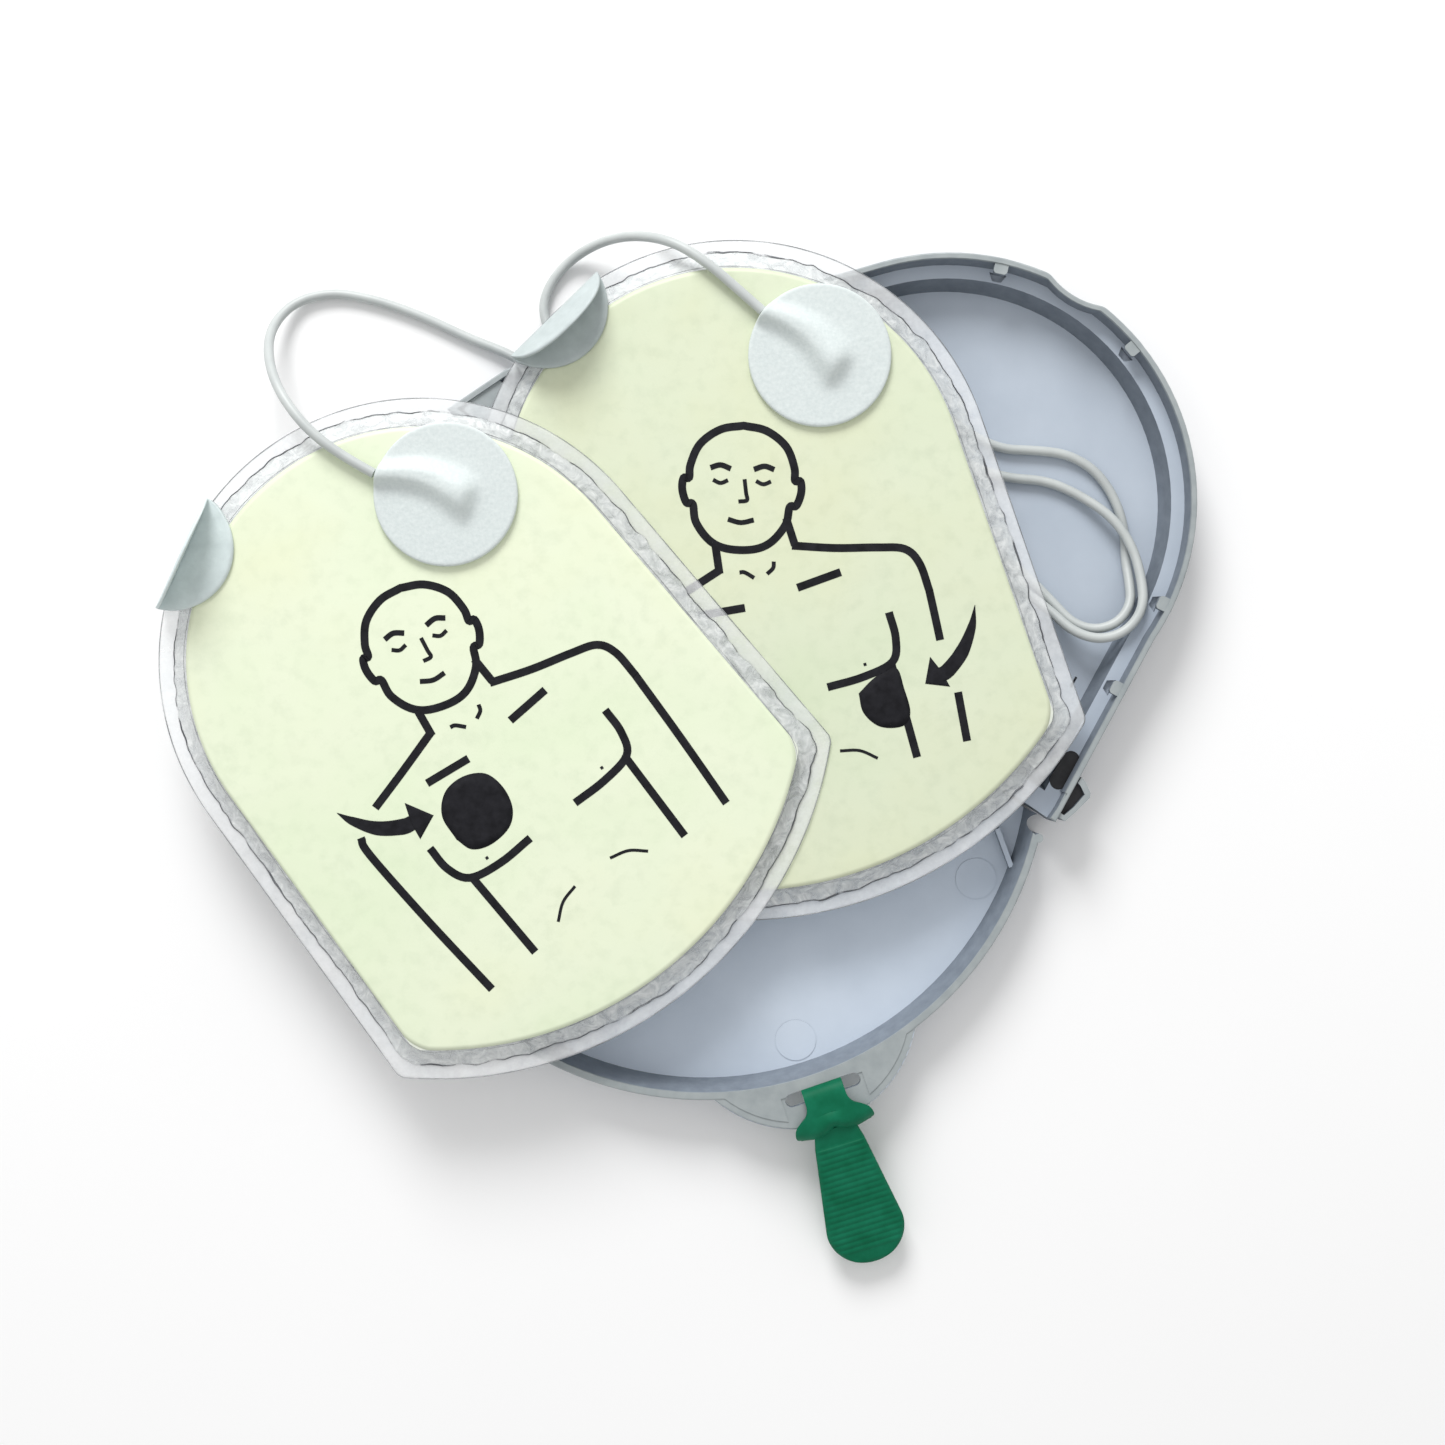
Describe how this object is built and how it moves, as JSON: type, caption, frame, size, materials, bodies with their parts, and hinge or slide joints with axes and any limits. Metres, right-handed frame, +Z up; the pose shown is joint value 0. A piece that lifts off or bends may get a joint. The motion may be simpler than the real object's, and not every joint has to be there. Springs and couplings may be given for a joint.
{
  "type": "defibrillator electrode cartridge",
  "caption": "Opened grey cartridge of a defibrillator: two shells, two printed gel electrode pads, their leads and a green pull tab.",
  "frame": {"origin": "on the table under the middle of the object's box, leads not counted", "axes": "+Z up; +X to the right and +Y away from a user who has the pull tab nearest; the seam between the shells runs from back left to front right"},
  "size_m": [0.2084, 0.211, 0.0284],
  "materials": {
    "case_grey": "matte",
    "black_rubber": "matte",
    "tab_green": "satin",
    "clear_film": "gloss",
    "gel": "gloss",
    "foil": "satin",
    "foam_white": "matte",
    "pad_print": "matte",
    "foam_grey": "matte",
    "nickel": "satin",
    "lead_grey": "satin"
  },
  "bodies": {
    "root": {"tray": "case_grey", "hinge_insert": "black_rubber", "loop_plug": "black_rubber", "terminal_block": "case_grey", "spring_contacts": "nickel", "pad_a_release_film": "clear_film", "pad_a_hydrogel": "gel", "pad_a_electrode_foil": "foil", "pad_a_foam_backing": "foam_white", "pad_a_printed_face": "pad_print", "pad_a_lead_disc": "foam_grey", "pad_a_snap_rivet": "nickel", "pad_a_ring_terminal": "nickel", "pad_a_peel_base": "foam_grey", "pad_b_release_film": "clear_film", "pad_b_hydrogel": "gel", "pad_b_electrode_foil": "foil", "pad_b_foam_backing": "foam_white", "pad_b_printed_face": "pad_print", "pad_b_lead_disc": "foam_grey", "pad_b_snap_rivet": "nickel", "pad_b_ring_terminal": "nickel", "pad_b_peel_base": "foam_grey", "lead_a": "lead_grey", "lead_a_coil": "lead_grey", "lead_a_tail": "lead_grey", "lead_b": "lead_grey", "lead_b_coil": "lead_grey", "lead_b_tail": "lead_grey"},
    "cover_body": {"cover": "case_grey", "tab_loop": "tab_green"},
    "pull_tab": {"tab_blade": "tab_green"},
    "leaf_a": {"pad_a_peel_leaf": "foam_grey"},
    "leaf_b": {"pad_b_peel_leaf": "foam_grey"}
  },
  "joints": [
    {"name": "cover_pull", "type": "slide", "parent": "root", "child": "cover_body", "axis": [-0.5615, -0.8275, 0], "range_m": [0, 0.03]},
    {"name": "pull_tab_lift", "type": "hinge", "parent": "cover_body", "child": "pull_tab", "pos_m": [0.0323, -0.07862, 0.0086], "axis": [-0.9563, -0.2924, 0], "range_deg": [0, 110]},
    {"name": "leaf_a_peel", "type": "hinge", "parent": "root", "child": "leaf_a", "pos_m": [-0.09834, 0.04038, 0.01895], "axis": [-0.4107, -0.9118, 0], "range_deg": [-70, 75]},
    {"name": "leaf_b_peel", "type": "hinge", "parent": "root", "child": "leaf_b", "pos_m": [-0.02484, 0.08816, 0.01595], "axis": [-0.7137, -0.7004, 0], "range_deg": [-53, 85]}
  ]
}
